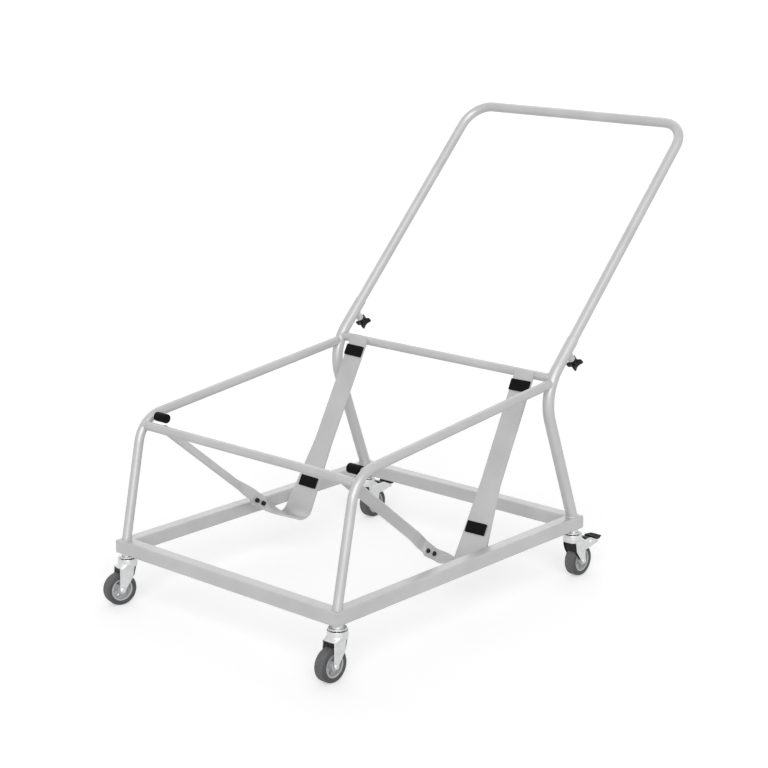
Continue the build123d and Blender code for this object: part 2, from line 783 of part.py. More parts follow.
    # Brake pedal: hub on the pin, foot plate behind it and a shoe over the tyre
    pivot = Vector(brake_pivot_trail, brake_pivot_height)
    axle_center = Vector(*axle_point)
    to_axle = (axle_center - pivot).normalized()
    shoe_tip = axle_center - to_axle * (wheel_radius + shoe_gap)
    shoe_side = Vector(-to_axle.Y, to_axle.X)
    shoe_corners = (
        pivot + shoe_side * pedal_hub_radius,
        shoe_tip + shoe_side * shoe_width / 2,
        shoe_tip - shoe_side * shoe_width / 8,
        pivot - shoe_side * pedal_hub_radius,
    )
    tread = polar(-pedal_slope)
    tread_up = polar(90 - pedal_slope)
    plate_front = Vector(pedal_front, brake_pivot_height + pedal_hub_radius - pedal_height / 2)
    plate_tip = plate_front + tread * ((pedal_tip - pedal_front) / tread.X)
    plate_corners = (
        pivot + tread_up * pedal_hub_radius,
        plate_front,
        plate_front + tread_up * pedal_height / 2,
        plate_tip + tread_up * pedal_height / 2,
        plate_tip - tread_up * pedal_height / 2 - tread * pedal_height,
        plate_front - tread_up * pedal_height / 2,
        pivot - tread_up * pedal_hub_radius,
    )
    with BuildPart() as pedal:
        with BuildSketch(caster_view):
            for corners in (shoe_corners, plate_corners):
                with BuildLine():
                    Polyline(*[(p.X, p.Y) for p in corners], close=True)
                make_face()
            with Locations((pivot.X, pivot.Y)):
                Circle(pedal_hub_radius)
                Circle(brake_pin_diameter / 2 + running_clearance, mode=Mode.SUBTRACT)
        extrude(amount=cheek_inner - pedal_side_gap, both=True)
    save(pedal, f"{caster_name}_brake_pedal")

    # Pedal pin, riveted at both ends
    with BuildPart() as pin:
        with BuildSketch(caster_view):
            with Locations((pivot.X, pivot.Y)):
                Circle(brake_pin_diameter / 2)
        extrude(amount=cheek_outer, both=True)
        for face in (1, -1):
            with BuildSketch(caster_view.offset(face * cheek_outer)):
                with Locations((pivot.X, pivot.Y)):
                    Circle(brake_pin_diameter * 0.8)
            extrude(amount=face * brake_pin_head, taper=30)
    save(pin, f"{caster_name}_brake_pin")

# Swivel bearing balls of all four casters
with BuildPart() as balls:
    for caster_deck in ball_decks:
        with Locations(caster_deck.offset(race_bottom - ball_diameter / 2)):
            with PolarLocations(ball_circle / 2, ball_count):
                Sphere(ball_diameter / 2)
save(balls, "swivel_balls")
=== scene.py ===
"""Chair trolley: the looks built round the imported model, from the welded frame to the casters."""

import json
import math

import bpy
from mathutils import Matrix, Quaternion, Vector


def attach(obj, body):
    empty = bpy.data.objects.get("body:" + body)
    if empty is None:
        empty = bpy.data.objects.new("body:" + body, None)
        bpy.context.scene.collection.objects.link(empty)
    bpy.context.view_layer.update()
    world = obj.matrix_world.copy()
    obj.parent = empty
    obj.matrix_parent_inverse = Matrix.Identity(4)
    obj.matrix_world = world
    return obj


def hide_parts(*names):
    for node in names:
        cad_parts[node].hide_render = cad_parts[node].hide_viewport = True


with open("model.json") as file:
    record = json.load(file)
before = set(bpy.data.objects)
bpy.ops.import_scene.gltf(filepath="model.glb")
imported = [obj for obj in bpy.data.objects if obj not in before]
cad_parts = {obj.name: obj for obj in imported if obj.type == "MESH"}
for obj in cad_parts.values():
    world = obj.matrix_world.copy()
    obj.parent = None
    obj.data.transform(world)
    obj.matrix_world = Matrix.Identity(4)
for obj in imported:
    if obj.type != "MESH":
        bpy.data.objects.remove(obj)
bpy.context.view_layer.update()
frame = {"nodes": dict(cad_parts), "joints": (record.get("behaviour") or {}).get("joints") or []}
parts = frame["nodes"]

# Welded frame: square tube for the base and round tube for the sides, posts and cross tubes, all
# mild steel, with the slide-in handle in the same finish. Powder coated in light silver grey.


def linear(hex_colour):
    """Linear RGBA from an sRGB hex value."""
    channels = [int(hex_colour[i : i + 2], 16) / 255 for i in (1, 3, 5)]
    return [c / 12.92 if c <= 0.04045 else ((c + 0.055) / 1.055) ** 2.4 for c in channels] + [1]


def add_node(tree, kind, inputs=(), **settings):
    """Add a node: settings are its own properties, inputs are values or sockets to link."""
    made = tree.nodes.new(kind)
    for name, value in settings.items():
        setattr(made, name, value)
    for name, value in dict(inputs).items():
        if isinstance(value, bpy.types.NodeSocket):
            tree.links.new(value, made.inputs[name])
        else:
            made.inputs[name].default_value = value
    return made


def surface(name, values=()):
    """New material with these values: returns it, its tree, its shader and object coordinates."""
    made = bpy.data.materials.new(name)
    made.use_nodes = True
    tree = made.node_tree
    shader = tree.nodes["Principled BSDF"]
    for socket, value in dict(values).items():
        shader.inputs[socket].default_value = value
    return made, tree, shader, add_node(tree, "ShaderNodeTexCoord").outputs["Object"]


def noise(tree, spot, size, detail=2.0):
    """Noise with patches of about that size, in metres."""
    return add_node(
        tree, "ShaderNodeTexNoise", {"Vector": spot, "Scale": 1 / size, "Detail": detail}
    ).outputs["Fac"]


def between(tree, factor, low, high, socket):
    """Link a value or colour that runs from low to high with the middle of a noise's range."""
    middle = {"Value": factor, "From Min": 0.3, "From Max": 0.7}
    spread = add_node(tree, "ShaderNodeMapRange", middle)
    if isinstance(low, str):
        # A colour mix takes its two colours on sockets 6 and 7 and gives the result on socket 2.
        mix = add_node(
            tree,
            "ShaderNodeMix",
            {"Factor": spread.outputs[0], 6: linear(low), 7: linear(high)},
            data_type="RGBA",
        )
        tree.links.new(mix.outputs[2], socket)
    else:
        spread.inputs["To Min"].default_value = low
        spread.inputs["To Max"].default_value = high
        tree.links.new(spread.outputs[0], socket)


def relief(tree, shader, height, depth):
    """Bump of that depth, in metres."""
    bump = add_node(tree, "ShaderNodeBump", {"Height": height, "Strength": 1.0, "Distance": depth})
    tree.links.new(bump.outputs["Normal"], shader.inputs["Normal"])


# The coat has aluminium flake in it, so it is partly metallic, with bright highlights. It flows out
# to a satin skin with a slight orange peel, a few millimetres from crest to crest.
coat, tree, shader, spot = surface("silver_grey_powder_coat", {"Metallic": 0.3})
between(tree, noise(tree, spot, 0.07, 3.0), "#BDBDBD", "#C5C5C5", shader.inputs["Base Color"])
between(tree, noise(tree, spot, 0.02), 0.34, 0.42, shader.inputs["Roughness"])
relief(tree, shader, noise(tree, spot, 0.003, 1.0), 0.00004)

SIDES = ("left", "right")
coated = ["base_front_beam", "base_rear_beam", "base_left_beam", "base_right_beam"]
coated += ["front_cross_tube", "rear_cross_tube", "handle_tube"]
for side in SIDES:
    coated += [f"{side}_side_tube", f"{side}_rear_post", f"{side}_clamp_boss", f"{side}_peg"]
for node in coated:
    parts[node].material_slots[0].material = coat

# Weld beads: each tube is welded all round where its cut end meets its neighbour, before coating.
# A bead follows the outer edge of the cut, with the ripples of a hand-fed wire.
merge_distance = 0.00002


def copy_of(node, name):
    """Separate object with a copy of a CAD node's mesh, its doubles merged."""
    bpy.ops.object.select_all(action="DESELECT")
    piece = bpy.data.objects.new(name, parts[node].data.copy())
    bpy.context.collection.objects.link(piece)
    bpy.context.view_layer.objects.active = piece
    piece.select_set(True)
    bpy.ops.mesh.customdata_custom_splitnormals_clear()
    bpy.ops.object.mode_set(mode="EDIT")
    bpy.ops.mesh.select_all(action="SELECT")
    bpy.ops.mesh.remove_doubles(threshold=merge_distance)
    bpy.ops.mesh.normals_make_consistent(inside=False)
    bpy.ops.object.mode_set(mode="OBJECT")
    return piece


def dress(piece, material, body, slot, *nodes):
    """Give a finished piece its material and body, and hide the CAD nodes that it replaces. Slot is
    not used.
    """
    piece.data.materials.clear()
    piece.data.materials.append(material)
    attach(piece, body)
    if nodes:
        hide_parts(*nodes)


def select_only(mesh, edges):
    """Leave only those edges of a mesh selected."""
    for kind in (mesh.vertices, mesh.edges, mesh.polygons):
        kind.foreach_set("select", [False] * len(kind))
    for edge in edges:
        edge.select = True


bead_radius = 0.0021
bead_ripple = 0.82
cut_angle = math.radians(35)
outer_share = 0.92


def weld(name, node, end, depth):
    """Bead round a node's cut end: end is the way it faces, depth how far the cut reaches back."""
    bead = copy_of(node, name)
    bpy.ops.object.mode_set(mode="EDIT")
    bpy.ops.mesh.select_mode(type="EDGE")
    bpy.ops.mesh.select_all(action="DESELECT")
    bpy.ops.mesh.edges_select_sharp(sharpness=cut_angle)
    bpy.ops.object.mode_set(mode="OBJECT")
    points = [vertex.co for vertex in bead.data.vertices]
    tip = max(point.dot(end) for point in points)
    cut = {}
    for edge in bead.data.edges:
        ends = [points[i] for i in edge.vertices]
        if edge.select and all(point.dot(end) > tip - depth for point in ends):
            cut[edge] = (ends[0] + ends[1]) / 2
    middle = sum(cut.values(), Vector()) / len(cut)
    reach = max((spot - middle).length for spot in cut.values())
    outer = [edge for edge, spot in cut.items() if (spot - middle).length > outer_share * reach]
    select_only(bead.data, outer)
    bpy.ops.object.mode_set(mode="EDIT")
    bpy.ops.mesh.select_all(action="INVERT")
    bpy.ops.mesh.delete(type="EDGE")
    bpy.ops.object.mode_set(mode="OBJECT")
    bpy.ops.object.convert(target="CURVE")
    bead = bpy.context.object
    bead.data.bevel_depth = bead_radius
    bead.data.bevel_resolution = 2
    for spline in bead.data.splines:
        for i, point in enumerate(spline.points):
            point.radius = bead_ripple if i % 2 else 1
    bpy.ops.object.convert(target="MESH")
    bpy.ops.object.shade_smooth()
    dress(bpy.context.object, coat, "frame", "frame_paint")


# A tube's foot is cut square, and an end that meets a round tube is coped to it.
square_cut = 0.001
small_cope = 0.004
front_cope = 0.01
rear_cope = 0.012
down = Vector((0, 0, -1))
rearward = Vector((0, 1, 0))
joints = {joint["name"]: joint for joint in frame["joints"]}
clamp_axis = Vector(joints["left_knob_turn"]["axis"])
for side, way in zip(SIDES, (-1, 1)):
    outward = Vector((way, 0, 0))
    weld(f"{side}_leg_weld", f"{side}_side_tube", down, square_cut)
    weld(f"{side}_rail_weld", f"{side}_side_tube", rearward, rear_cope)
    weld(f"{side}_post_weld", f"{side}_rear_post", down, square_cut)
    weld(f"{side}_boss_weld", f"{side}_clamp_boss", -clamp_axis, small_cope)
    weld(f"{side}_peg_weld", f"{side}_peg", outward, small_cope)
    weld(f"{side}_front_tube_weld", "front_cross_tube", outward, front_cope)
    weld(f"{side}_rear_tube_weld", "rear_cross_tube", outward, rear_cope)

# Chair supports and struts: 5 mm flat bar, laser cut, bent and twisted, with lightly dressed edges.
# Welded to the cross tubes and bolted to each other, then coated with the frame.
bar_rounding = 0.0008
flat_angle = math.radians(0.5)
edge_angle = math.radians(40)


def softened(node, name, width):
    """Copy of a node with its sharp edges rounded off."""
    piece = copy_of(node, name)
    bpy.ops.object.mode_set(mode="EDIT")
    bpy.ops.mesh.select_all(action="SELECT")
    bpy.ops.mesh.dissolve_limited(angle_limit=flat_angle)
    bpy.ops.object.mode_set(mode="OBJECT")
    rounding = piece.modifiers.new("rounding", "BEVEL")
    rounding.width = width
    rounding.segments = 2
    rounding.limit_method = "ANGLE"
    rounding.angle_limit = edge_angle
    bpy.ops.object.modifier_apply(modifier="rounding")
    bpy.ops.object.shade_smooth_by_angle(angle=edge_angle)
    piece.modifiers.new("shading", "WEIGHTED_NORMAL").keep_sharp = True
    bpy.ops.object.modifier_apply(modifier="shading")
    return piece


for side in SIDES:
    bar = softened(f"{side}_support_bar", f"{side}_bent_bar", bar_rounding)
    dress(bar, coat, "frame", "frame_paint", f"{side}_support_bar")
    strut = softened(f"{side}_front_strut", f"{side}_flat_strut", bar_rounding)
    dress(strut, coat, "frame", "frame_paint", f"{side}_front_strut")

# Bolts of the supports: black-oxide steel, domed heads outside and hexagon nuts inside. Two on each
# side clamp the strut to the bar. The oxide is dark with a dull metal shine.
oxide, tree, shader, spot = surface("black_oxide_steel", {"Metallic": 0.7})
between(tree, noise(tree, spot, 0.003), "#161617", "#262627", shader.inputs["Base Color"])
between(tree, noise(tree, spot, 0.0015), 0.4, 0.55, shader.inputs["Roughness"])
bolt_rounding = 0.0007
bolts = softened("support_screws", "support_bolts", bolt_rounding)
dress(bolts, oxide, "frame", "black_steel", "support_screws")

# Pads and peg sleeves: black rubber, pushed on or glued, that keeps the chairs off the coating.
# Moulded, so matt, with a faint bloom and rubbed patches.
rubber, tree, shader, spot = surface("black_rubber", {"Specular IOR Level": 0.08})
between(tree, noise(tree, spot, 0.012, 4.0), "#090909", "#0F0F0F", shader.inputs["Base Color"])
between(tree, noise(tree, spot, 0.006), 0.5, 0.68, shader.inputs["Roughness"])
relief(tree, shader, noise(tree, spot, 0.0012), 0.00008)
for side in SIDES:
    for node in (f"{side}_upper_pad", f"{side}_lower_pad", f"{side}_peg_sleeve"):
        parts[node].material_slots[0].material = rubber

# Star knobs: glass-filled nylon, moulded round the clamp stud, with four tapered arms.
# The mould's fine spark-eroded grain shows as a soft sheen.
nylon, tree, shader, spot = surface("black_nylon", {"Specular IOR Level": 0.25})
between(tree, noise(tree, spot, 0.009, 3.0), "#0E0E0E", "#161616", shader.inputs["Base Color"])
between(tree, noise(tree, spot, 0.004), 0.42, 0.56, shader.inputs["Roughness"])
relief(tree, shader, noise(tree, spot, 0.0006), 0.00004)

knob_span = 0.037
knob_height = 0.012
knob_core = 0.0092
knob_arms = 4
arm_taper = 0.62
arm_flatten = 0.8
rim_crease = 0.55
flow_levels = 4
stud_bore = 0.00405
grip_depth = 0.0123
neck_radius = 0.0085
neck_height = 0.005
neck_top = 0.006
neck_edge = 0.0008
knob_turn = math.radians(-28)
round_steps = 48

bpy.ops.object.select_all(action="DESELECT")
bpy.ops.mesh.primitive_cylinder_add(vertices=2 * knob_arms, radius=knob_core, depth=knob_height)
star = bpy.context.object
star.name = "knob_pattern"
bpy.ops.object.mode_set(mode="EDIT")
bpy.ops.mesh.select_all(action="SELECT")
half_side = math.pi / (2 * knob_arms)
bpy.ops.transform.rotate(value=half_side, orient_axis="Z", center_override=(0, 0, 0))
bpy.ops.object.mode_set(mode="OBJECT")
for arm in range(knob_arms):
    angle = arm * math.pi / 2
    outward = Vector((math.cos(angle), math.sin(angle), 0))
    select_only(star.data, [])
    for face in star.data.polygons:
        face.select = face.normal.dot(outward) > 0.99
    bpy.ops.object.mode_set(mode="EDIT")
    bpy.ops.mesh.select_mode(type="FACE")
    reach = knob_span / 2 - knob_core
    bpy.ops.mesh.extrude_region_move(TRANSFORM_OT_translate={"value": outward * reach})
    taper = [1 if abs(part) > 0.5 else arm_taper for part in outward[:2]] + [arm_flatten]
    bpy.ops.transform.resize(value=taper, center_override=outward * (knob_core + reach))
    bpy.ops.object.mode_set(mode="OBJECT")
bpy.ops.object.mode_set(mode="EDIT")
bpy.ops.mesh.select_mode(type="EDGE")
bpy.ops.object.mode_set(mode="OBJECT")
points = [vertex.co for vertex in star.data.vertices]
rims = [e for e in star.data.edges if points[e.vertices[0]].z * points[e.vertices[1]].z > 0]
select_only(star.data, rims)
bpy.ops.object.mode_set(mode="EDIT")
bpy.ops.transform.edge_crease(value=rim_crease)
bpy.ops.object.mode_set(mode="OBJECT")
flow = star.modifiers.new("flow", "SUBSURF")
flow.levels = flow_levels
flow.render_levels = flow_levels
bpy.ops.object.modifier_apply(modifier="flow")
half_span = max(vertex.co.x for vertex in star.data.vertices)
half_height = max(vertex.co.z for vertex in star.data.vertices)
bpy.ops.object.mode_set(mode="EDIT")
bpy.ops.mesh.select_all(action="SELECT")
fit = knob_span / 2 / half_span
bpy.ops.transform.resize(value=(fit, fit, knob_height / 2 / half_height), center_override=(0, 0, 0))
bpy.ops.object.mode_set(mode="OBJECT")
bpy.ops.object.select_all(action="DESELECT")
bpy.ops.mesh.primitive_cylinder_add(vertices=round_steps, radius=stud_bore, depth=knob_height)
drill = bpy.context.object
drill.location.z = -knob_height + grip_depth - neck_height
bpy.context.view_layer.objects.active = star
bore = star.modifiers.new("bore", "BOOLEAN")
bore.operation = "DIFFERENCE"
bore.object = drill
bpy.ops.object.modifier_apply(modifier="bore")
bpy.data.objects.remove(drill)
star.select_set(True)
bpy.ops.object.shade_smooth_by_angle(angle=edge_angle)


def lathe(name, outline, steps):
    """Spin an outline of (place along X, radius) points about the X axis."""
    bpy.ops.object.select_all(action="DESELECT")
    bpy.ops.mesh.primitive_plane_add(size=0.001)
    piece = bpy.context.object
    piece.name = name
    bpy.ops.object.mode_set(mode="EDIT")
    bpy.ops.mesh.select_mode(type="VERT")
    bpy.ops.mesh.select_all(action="SELECT")
    bpy.ops.mesh.merge(type="CENTER")
    bpy.ops.transform.translate(value=(outline[0][0], 0, outline[0][1]))
    for start, stop in zip(outline, outline[1:]):
        step = (stop[0] - start[0], 0, stop[1] - start[1])
        bpy.ops.mesh.extrude_vertices_move(TRANSFORM_OT_translate={"value": step})
    bpy.ops.mesh.select_all(action="SELECT")
    bpy.ops.mesh.spin(steps=steps, angle=2 * math.pi, center=(0, 0, 0), axis=(1, 0, 0))
    bpy.ops.mesh.select_all(action="SELECT")
    bpy.ops.mesh.remove_doubles(threshold=0.00001)
    bpy.ops.mesh.normals_make_consistent(inside=False)
    bpy.ops.object.mode_set(mode="OBJECT")
    bpy.ops.object.shade_smooth_by_angle(angle=edge_angle)
    return piece


def copied(pattern, name, place):
    """Copy of a pattern with its own mesh, put in its place."""
    piece = bpy.data.objects.new(name, pattern.data.copy())
    piece.data.transform(place)
    bpy.context.collection.objects.link(piece)
    return piece


neck = lathe(
    "neck_pattern",
    [
        (0, stud_bore),
        (0, neck_radius - neck_edge),
        (neck_edge, neck_radius),
        (neck_top, neck_radius),
        (neck_top, stud_bore),
        (0, stud_bore),
    ],
    round_steps,
)
for side in SIDES:
    hinge = joints[f"{side}_knob_turn"]
    axis = Vector(hinge["axis"])
    across = Vector((1, 0, 0))
    turn = Matrix((across, axis.cross(across), axis)).transposed()
    heights = [vertex.co.dot(axis) for vertex in parts[f"{side}_knob_head"].data.vertices]
    center = Vector(hinge["pos_m"])
    base = center + axis * (min(heights) - center.dot(axis))
    head = center + axis * (max(heights) - knob_height / 2 - center.dot(axis))
    turned = turn.to_4x4() @ Matrix.Rotation(knob_turn, 4, "Z")
    knob = copied(star, f"{side}_star_knob", Matrix.Translation(head) @ turned)
    dress(knob, nylon, f"{side}_knob", "black_plastic", f"{side}_knob_head")
    upright = turn.to_4x4() @ Matrix.Rotation(math.radians(-90), 4, "Y")
    collar = copied(neck, f"{side}_knob_neck", Matrix.Translation(base) @ upright)
    dress(collar, nylon, f"{side}_knob", "black_plastic")
bpy.data.objects.remove(star)
bpy.data.objects.remove(neck)

# Caster steel: forks pressed from 2.5 mm sheet, so with rounded corners and crowned legs, turned
# stems, riveted axles and pins. All zinc plated: bright, with a satin skin and faint clouding.
zinc, tree, shader, spot = surface("bright_zinc_plate", {"Metallic": 1.0})
between(tree, noise(tree, spot, 0.011, 3.0), "#CCCDCE", "#DADADA", shader.inputs["Base Color"])
between(tree, noise(tree, spot, 0.004), 0.36, 0.46, shader.inputs["Roughness"])
relief(tree, shader, noise(tree, spot, 0.0016), 0.00001)

# The crown of a leg runs down its middle, which slants back towards the axle below slant_drop, and
# fades out at the top and the foot.
CASTERS = ("front_left", "front_right", "rear_left", "rear_right")
BRAKED = CASTERS[2:]
press_grid = 0.0007
press_factor = 0.5
press_rounds = 9
leg_crown = 0.0014
leg_half = 0.0125
leg_middle = 0.0085
leg_slant = 0.4
slant_drop = 0.024
leg_top = 0.084
leg_foot = 0.046
top_fade = 0.006
foot_fade = 0.012
leg_inside = 0.0139
stem_rounding = 0.0005


def caster_place(caster):
    """Frame of a caster, from the floor under its swivel: X along its trail, Y its axle, Z up."""
    swivel = Vector(joints[f"{caster}_swivel_turn"]["pos_m"])
    spin = joints[f"{caster}_wheel_spin"]
    trail = Vector(spin["pos_m"]) - swivel
    trail.z = 0
    trail.normalize()
    upright = Vector((0, 0, 1))
    turn = Matrix((trail, upright.cross(trail), upright)).transposed().to_4x4()
    return Matrix.Translation((swivel.x, swivel.y, 0)) @ turn


for caster in CASTERS:
    fork = copy_of(f"{caster}_fork", f"{caster}_pressed_fork")
    flow = fork.modifiers.new("flow", "REMESH")
    flow.mode = "VOXEL"
    flow.voxel_size = press_grid
    bpy.ops.object.modifier_apply(modifier="flow")
    rounding = fork.modifiers.new("rounding", "SMOOTH")
    rounding.factor = press_factor
    rounding.iterations = press_rounds
    bpy.ops.object.modifier_apply(modifier="rounding")
    place = caster_place(caster)
    fork.data.transform(place.inverted())
    for vertex in fork.data.vertices:
        point = vertex.co
        middle = leg_middle + leg_slant * max(0, leg_top - point.z - slant_drop)
        crown = max(0, 1 - ((point.x - middle) / leg_half) ** 2)
        from_foot = max(0, (point.z - leg_foot) / foot_fade)
        from_top = max(0, (leg_top - point.z) / top_fade)
        if abs(point.y) > leg_inside:
            point.y += math.copysign(leg_crown * crown * min(1, from_foot, from_top), point.y)
    fork.data.transform(place)
    bpy.ops.object.shade_smooth()
    dress(fork, zinc, f"{caster}_swivel", "zinc_steel", f"{caster}_fork")
    stem = softened(f"{caster}_stem", f"{caster}_turned_stem", stem_rounding)
    dress(stem, zinc, "frame", "zinc_steel", f"{caster}_stem")

axle_radius = 0.00395
axle_half = 0.017
rivet_radius = 0.0062
rivet_dome = [(0.0008, 1), (0.0018, 0.86), (0.0024, 0.6), (0.0027, 0.3), (0.0027, 0)]
rivet_end = [(axle_half, axle_radius), (axle_half, rivet_radius)]
rivet_end += [(axle_half + rise, rivet_radius * share) for rise, share in rivet_dome]
other_end = [(-along, radius) for along, radius in reversed(rivet_end)]
rivet = lathe("axle_pattern", other_end + rivet_end, round_steps)
plain = ["caster_weld_nuts", "swivel_balls", "rear_left_brake_pin", "rear_right_brake_pin"]
plain += ["left_clamp_stud", "right_clamp_stud"]
for node in plain:
    parts[node].material_slots[0].material = zinc


def wheel_place(caster):
    """Where a wheel sits: the middle of its axle, with X along the axle."""
    spin = joints[f"{caster}_wheel_spin"]
    turn = Vector((1, 0, 0)).rotation_difference(Vector(spin["axis"]))
    return Matrix.LocRotScale(Vector(spin["pos_m"]), turn, None)


for caster in CASTERS:
    axle = copied(rivet, f"{caster}_riveted_axle", wheel_place(caster))
    dress(axle, zinc, f"{caster}_swivel", "zinc_steel", f"{caster}_axle")
bpy.data.objects.remove(rivet)

# Tyre guards: black nylon, moulded to the tyre's curve and pushed between the cheeks. On the rear
# casters a thin black fin each side sweeps down in front of the leg towards the axle. The fins are
# painted shade: dark sheets put where the shadow between the leg and the tyre falls.
guard_rounding = 0.0008
shade_fin_rounding = 0.0002
shade_fin_inside = 0.0134
shade_fin_outside = 0.0143
shade_fin_front = [(-0.0145, 0.083), (-0.0135, 0.074), (-0.0095, 0.064), (-0.0025, 0.053)]
shade_fin_tip = [(0.006, 0.0435), (0.014, 0.037), (0.0155, 0.0385)]
shade_fin_back = [(0.008, 0.048), (0.003, 0.057), (0, 0.068), (-0.001, 0.083)]
shade_fin_outline = shade_fin_front + shade_fin_tip + shade_fin_back


def plate(name, outline, start, stop):
    """Flat plate with an outline of (X, Z) points, from start to stop along Y."""
    bpy.ops.object.select_all(action="DESELECT")
    bpy.ops.mesh.primitive_plane_add(size=0.001)
    piece = bpy.context.object
    piece.name = name
    bpy.ops.object.mode_set(mode="EDIT")
    bpy.ops.mesh.select_mode(type="VERT")
    bpy.ops.mesh.select_all(action="SELECT")
    bpy.ops.mesh.merge(type="CENTER")
    bpy.ops.transform.translate(value=(outline[0][0], start, outline[0][1]))
    for here, there in zip(outline, outline[1:]):
        step = (there[0] - here[0], 0, there[1] - here[1])
        bpy.ops.mesh.extrude_vertices_move(TRANSFORM_OT_translate={"value": step})
    bpy.ops.mesh.select_all(action="SELECT")
    bpy.ops.mesh.edge_face_add()
    bpy.ops.mesh.extrude_region_move(TRANSFORM_OT_translate={"value": (0, stop - start, 0)})
    bpy.ops.mesh.select_all(action="SELECT")
    bpy.ops.mesh.normals_make_consistent(inside=False)
    bpy.ops.object.mode_set(mode="OBJECT")
    return piece


for caster in CASTERS:
    guard = softened(f"{caster}_tyre_guard", f"{caster}_moulded_guard", guard_rounding)
    shade_fins = []
    # Painted shade: the black fins stand where the shadow between the leg and the tyre falls.
    for side in (-1, 1) if caster in BRAKED else ():
        shade_fin = plate(f"{caster}_fin", shade_fin_outline, side * shade_fin_inside, side * shade_fin_outside)
        rounding = shade_fin.modifiers.new("rounding", "BEVEL")
        rounding.width = shade_fin_rounding
        rounding.segments = 2
        bpy.ops.object.modifier_apply(modifier="rounding")
        shade_fin.data.transform(caster_place(caster))
        bpy.ops.object.shade_smooth_by_angle(angle=edge_angle)
        shade_fins.append(shade_fin)
    if shade_fins:
        bpy.ops.object.select_all(action="DESELECT")
        for piece in shade_fins + [guard]:
            piece.select_set(True)
        bpy.context.view_layer.objects.active = guard
        bpy.ops.object.join()
    dress(guard, nylon, f"{caster}_swivel", "black_plastic", f"{caster}_tyre_guard")

# Tyres: dark grey thermoplastic rubber moulded on the hub, with a fine line each side of the
# tread's middle and a ring on the sidewalls. The tread is a paler grey than the sidewalls, with a
# rougher skin.
tyre_rubber, tree, shader, spot = surface("grey_tyre_rubber", {"Specular IOR Level": 0.4})
between(tree, noise(tree, spot, 0.01, 4.0), "#444445", "#505051", shader.inputs["Base Color"])
between(tree, noise(tree, spot, 0.004), 0.5, 0.66, shader.inputs["Roughness"])
relief(tree, shader, noise(tree, spot, 0.001), 0.00006)
paler_tread, tree, shader, spot = surface("paler_tread_rubber", {"Specular IOR Level": 0.35})
between(tree, noise(tree, spot, 0.006, 6.0), "#5A5A5B", "#6B6B6C", shader.inputs["Base Color"])
between(tree, noise(tree, spot, 0.003), 0.6, 0.8, shader.inputs["Roughness"])
relief(tree, shader, noise(tree, spot, 0.0008, 4.0), 0.00012)

tyre_radius = 0.035
tyre_half = 0.013
seat_radius = 0.0245
shoulder = 0.006
ring_radius = 0.0274
ring_depth = 0.0004
line_place = 0.0035
line_half = 0.0005
line_depth = 0.0007
shoulder_steps = 6
tyre_steps = 96
flat = tyre_half - shoulder
half_outline = [(0, tyre_radius), (line_place - 2 * line_half, tyre_radius)]
half_outline += [(line_place - line_half, tyre_radius - line_depth)]
half_outline += [(line_place + line_half, tyre_radius - line_depth)]
half_outline += [(line_place + 2 * line_half, tyre_radius)]
for step in range(shoulder_steps + 1):
    angle = math.radians(90 / shoulder_steps * step)
    half_outline.append(
        (flat + shoulder * math.sin(angle), tyre_radius - shoulder * (1 - math.cos(angle)))
    )
half_outline += [(tyre_half, ring_radius + 2 * ring_depth)]
half_outline += [(tyre_half - ring_depth, ring_radius + ring_depth)]
half_outline += [(tyre_half - ring_depth, ring_radius - ring_depth)]
half_outline += [(tyre_half, ring_radius - 2 * ring_depth)]
half_outline += [(tyre_half, seat_radius + ring_depth), (tyre_half - ring_depth, seat_radius)]
mirrored = [(-along, radius) for along, radius in reversed(half_outline)]
tyre = lathe("tyre_pattern", mirrored[:-1] + half_outline + mirrored[:1], tyre_steps)
tyre.data.materials.append(tyre_rubber)
tyre.data.materials.append(paler_tread)
tread_half = flat + shoulder / 2
tread_inside = seat_radius * 1.2
for face in tyre.data.polygons:
    on_tread = abs(face.center.x) < tread_half and face.center.yz.length > tread_inside
    face.material_index = int(on_tread)
for caster in CASTERS:
    wheel = copied(tyre, f"{caster}_moulded_tyre", wheel_place(caster))
    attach(wheel, f"{caster}_wheel")
    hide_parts(f"{caster}_tyre")
bpy.data.objects.remove(tyre)

# Wheel hubs: light grey polypropylene, injection moulded, with a pierced web. They turn on the axle
# and carry the tyre. The moulded skin is even, with a soft gloss.
polymer, tree, shader, spot = surface("grey_polypropylene", {"Specular IOR Level": 0.45})
between(tree, noise(tree, spot, 0.012, 3.0), "#ABADAE", "#B7B9BA", shader.inputs["Base Color"])
between(tree, noise(tree, spot, 0.005), 0.36, 0.48, shader.inputs["Roughness"])
relief(tree, shader, noise(tree, spot, 0.0009), 0.00003)
hub_rounding = 0.0006
for caster in CASTERS:
    hub = softened(f"{caster}_hub", f"{caster}_moulded_hub", hub_rounding)
    dress(hub, polymer, f"{caster}_wheel", "grey_hub", f"{caster}_hub")

# Brake pedals: black nylon levers on the rear casters, turning on a steel pin.
# Five moulded ribs across the foot plate keep the shoe from slipping.
pedal_rounding = 0.0012
plate_start = (0.06256, 0.08046)
plate_slope = math.radians(8)
rib_count = 5
rib_pitch = 0.0042
rib_width = 0.0016
rib_height = 0.0008
rib_root = -0.0005
rib_half = 0.0125
first_rib = 0.0045
comb = []
for rib in range(rib_count):
    along = first_rib + rib * rib_pitch
    comb += [(along, rib_root / 2), (along + rib_width / 4, rib_height)]
    comb += [(along + rib_width * 3 / 4, rib_height), (along + rib_width, rib_root / 2)]
comb = [(first_rib, rib_root)] + comb + [(comb[-1][0], rib_root)]
rib_outline = []
for along, height in comb:
    rib_outline.append(
        (
            plate_start[0] + along * math.cos(plate_slope) + height * math.sin(plate_slope),
            plate_start[1] - along * math.sin(plate_slope) + height * math.cos(plate_slope),
        )
    )
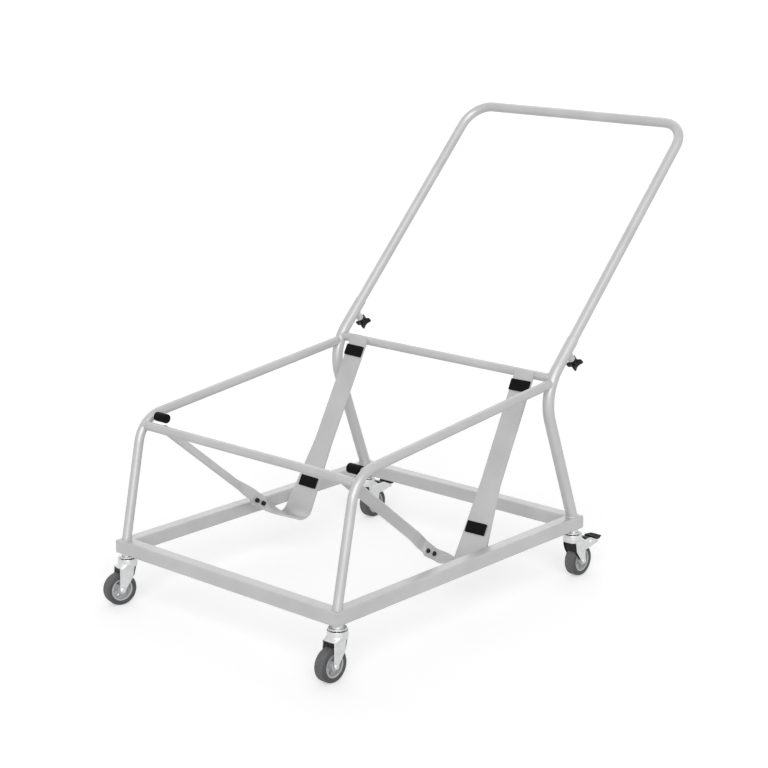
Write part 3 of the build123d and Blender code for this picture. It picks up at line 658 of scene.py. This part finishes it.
for caster in BRAKED:
    pedal = softened(f"{caster}_brake_pedal", f"{caster}_moulded_pedal", pedal_rounding)
    ribs = plate(f"{caster}_ribs", rib_outline, -rib_half, rib_half)
    ribs.data.transform(caster_place(caster))
    bpy.ops.object.select_all(action="DESELECT")
    for piece in (ribs, pedal):
        piece.select_set(True)
    bpy.context.view_layer.objects.active = pedal
    bpy.ops.object.join()
    dress(pedal, nylon, f"{caster}_brake", "black_plastic", f"{caster}_brake_pedal")

# Studio: a plain pale floor and a white surround, with a broad soft light from the front right and
# a weaker one from behind. What the camera, metal and gloss see of floor and surround is white, and
# the floor keeps the shadow.
surround_level = 0.42
floor_size = 80
floor_grey = (0.75, 0.75, 0.75, 1)
floor_glow = 0.41
white = (1, 1, 1, 1)


def seen_directly(tree):
    """Socket that is 1 for camera, glossy and transmission rays, and 0 for light on the object."""
    path = add_node(tree, "ShaderNodeLightPath")
    seen = path.outputs["Is Camera Ray"]
    for ray in ("Is Glossy Ray", "Is Transmission Ray"):
        sockets = {0: seen, 1: path.outputs[ray]}
        seen = add_node(tree, "ShaderNodeMath", sockets, operation="MAXIMUM").outputs[0]
    return seen


bpy.ops.object.select_all(action="DESELECT")
bpy.ops.mesh.primitive_plane_add(size=floor_size)
floor = bpy.context.object
floor.name = "studio_floor"
paper, tree, shader, spot = surface(
    "pale_paper_floor",
    {
        "Base Color": floor_grey,
        "Roughness": 0.9,
        "Specular IOR Level": 0.1,
        "Emission Color": white,
    },
)
floor.data.materials.append(paper)
seen_glow = {0: seen_directly(tree), 1: floor_glow}
glow = add_node(tree, "ShaderNodeMath", seen_glow, operation="MULTIPLY")
tree.links.new(glow.outputs[0], shader.inputs["Emission Strength"])

world = bpy.data.worlds.new("white_surround")
bpy.context.scene.world = world
world.use_nodes = True
tree = world.node_tree
surround = tree.nodes["Background"]
surround.inputs["Color"].default_value = white
level = add_node(tree, "ShaderNodeMix", {"Factor": seen_directly(tree), 2: surround_level, 3: 1.0})
tree.links.new(level.outputs[0], surround.inputs["Strength"])


def soft_sun(name, azimuth, elevation, energy, angle):
    """Broad, even light from that side, with its angles in degrees."""
    bpy.ops.object.light_add(type="SUN")
    lamp = bpy.context.object
    lamp.name = name
    lamp.data.energy = energy
    lamp.data.angle = math.radians(angle)
    sideways = Vector((math.sin(math.radians(azimuth)), -math.cos(math.radians(azimuth)), 0))
    towards = sideways + Vector((0, 0, math.tan(math.radians(elevation))))
    lamp.rotation_euler = towards.to_track_quat("Z", "Y").to_euler()


soft_sun("soft_key", azimuth=44, elevation=27, energy=1.9, angle=56)
soft_sun("soft_fill", azimuth=225, elevation=20, energy=0.9, angle=90)

# Camera at the photograph's viewing angle, from the front right and a little above, with the slight
# roll of the picture.
azimuth = math.radians(42.514)
elevation = math.radians(14.668)
roll = math.radians(-0.4425)
camera_place = (2.7188, -3.0370, 1.4931)
level_back = Vector((math.sin(azimuth), -math.cos(azimuth), 0))
back = level_back * math.cos(elevation) + Vector((0, 0, math.sin(elevation)))
turn = back.to_track_quat("Z", "Y") @ Quaternion((0, 0, 1), roll)
bpy.ops.object.camera_add(location=camera_place, rotation=turn.to_euler())
camera = bpy.context.object
camera.data.lens = 90.14
camera.data.sensor_width = 36
camera.data.clip_end = 100
bpy.context.scene.camera = camera
bpy.context.scene.view_settings.view_transform = "Standard"
